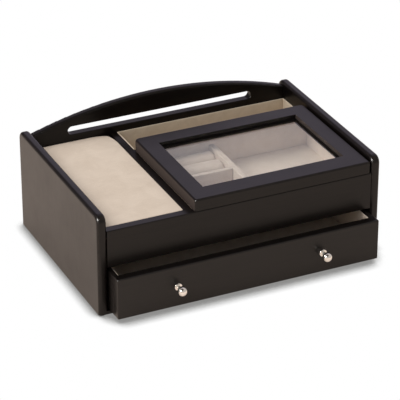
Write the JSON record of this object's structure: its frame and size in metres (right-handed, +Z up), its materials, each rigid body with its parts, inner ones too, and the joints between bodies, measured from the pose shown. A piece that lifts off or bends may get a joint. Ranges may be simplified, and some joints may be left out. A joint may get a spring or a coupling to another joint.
{
  "type": "desk valet box with charging tray and drawer",
  "caption": "Desk valet: side panels, arched back with a lead slot, soft charging tray, lined trough, hinged glass-top lid over ring compartments, and a drawer with ball knobs.",
  "frame": {"origin": "on the surface it stands on, under the base felt, midway between the side panels and midway along their depth", "axes": "+X to the right seen from the front, +Y to the arched back, +Z up; the drawer opens along -Y"},
  "size_m": [0.318, 0.2539, 0.1336],
  "materials": {
    "dark_lacquer": "espresso stain under satin lacquer",
    "stained_board": "espresso stain, matt",
    "dowel_wood": "bare beech",
    "beige_suede": "short-nap suede cloth",
    "base_felt": "pressed felt",
    "clear_glass": "clear float glass",
    "hinge_brass": "polished",
    "screw_steel": "zinc plated",
    "polished_nickel": "polished warm nickel plate",
    "runner_nylon": "smooth",
    "bumper_rubber": "soft, matt"
  },
  "bodies": {
    "case": {"base_felt": "base_felt", "base_panel": "stained_board", "left_side_panel": "dark_lacquer", "right_side_panel": "dark_lacquer", "upper_front_panel": "dark_lacquer", "arched_back_panel": "dark_lacquer", "compartment_deck": "stained_board", "tray_divider": "dark_lacquer", "lid_hinge_rail": "dark_lacquer", "case_dowels": "dowel_wood", "tray_cleats": "stained_board", "tray_board": "stained_board", "tray_pad": "beige_suede", "trough_liner": "beige_suede", "compartment_liner": "beige_suede", "long_partition": "beige_suede", "cross_partition": "beige_suede", "back_ring_roll": "beige_suede", "front_ring_roll": "beige_suede", "rail_hinge_leaves": "hinge_brass", "rail_hinge_screws": "screw_steel", "hinge_pins": "hinge_brass", "drawer_runners": "runner_nylon", "drawer_bumpers": "bumper_rubber"},
    "lid": {"lid_frame": "dark_lacquer", "glass_pane": "clear_glass", "glass_retainers": "stained_board", "lid_hinge_leaves": "hinge_brass", "lid_hinge_screws": "screw_steel"},
    "drawer": {"drawer_front": "dark_lacquer", "drawer_left_side": "stained_board", "drawer_right_side": "stained_board", "drawer_back": "stained_board", "drawer_bottom": "stained_board", "drawer_liner": "beige_suede", "drawer_knobs": "polished_nickel", "knob_screws": "screw_steel"}
  },
  "joints": [
    {"name": "lid_hinge", "type": "hinge", "parent": "case", "child": "lid", "pos_m": [0.0475, 0.0475, 0.0957], "axis": [-1, 0, 0], "range_deg": [0, 95]},
    {"name": "drawer_slide", "type": "slide", "parent": "case", "child": "drawer", "axis": [0, -1, 0], "range_m": [-0.0223, 0.125]}
  ]
}
